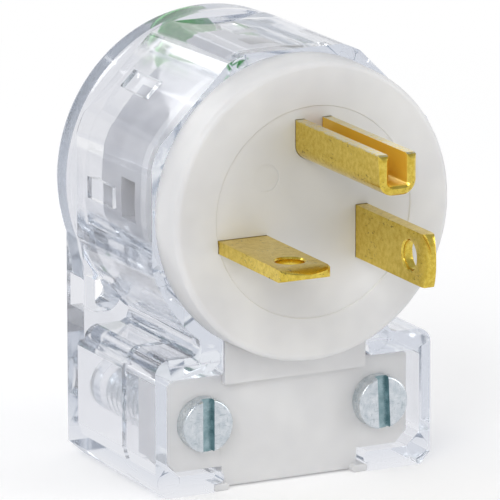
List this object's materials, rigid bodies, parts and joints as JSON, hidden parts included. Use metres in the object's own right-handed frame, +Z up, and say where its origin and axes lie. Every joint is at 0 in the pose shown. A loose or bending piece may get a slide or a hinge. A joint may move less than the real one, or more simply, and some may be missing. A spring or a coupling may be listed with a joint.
{
  "type": "angled electrical plug",
  "caption": "Right-angle grounding plug in a clear moulded housing, with brass blades, a white blade face and a screw-down cord clamp at its foot.",
  "frame": {"origin": "middle of the blade face, where it meets a socket", "axes": "-Y along the blades into the socket, +Z up towards the earth pin, the cord leaves along -Z, X across"},
  "size_m": [0.039, 0.0516, 0.0536],
  "materials": {
    "clear_plastic": "clear polycarbonate, polished moulding",
    "white_nylon": "off-white nylon, satin moulding",
    "blade_brass": "rolled brass, lightly tarnished",
    "plate_brass": "stamped brass",
    "screw_brass": "turned brass",
    "screw_nickel": "nickel plated",
    "screw_green": "green dyed plating",
    "zinc_steel": "zinc plated steel",
    "green_ink": "pad printed ink, inlaid"
  },
  "bodies": {
    "root": {"clear_housing": "clear_plastic", "blade_body": "white_nylon", "terminal_carrier": "white_nylon", "cord_clamp": "white_nylon", "hot_blade": "blade_brass", "neutral_blade": "blade_brass", "ground_pin": "blade_brass", "hot_clamp_plate": "plate_brass", "neutral_clamp_plate": "plate_brass", "ground_clamp_plate": "plate_brass", "hot_terminal_screw": "screw_brass", "neutral_terminal_screw": "screw_nickel", "ground_terminal_screw": "screw_green", "carrier_screw_left": "zinc_steel", "carrier_screw_right": "zinc_steel", "carrier_screw_bottom": "zinc_steel", "clamp_screw_left": "zinc_steel", "clamp_screw_right": "zinc_steel", "green_dot": "green_ink"}
  },
  "joints": []
}
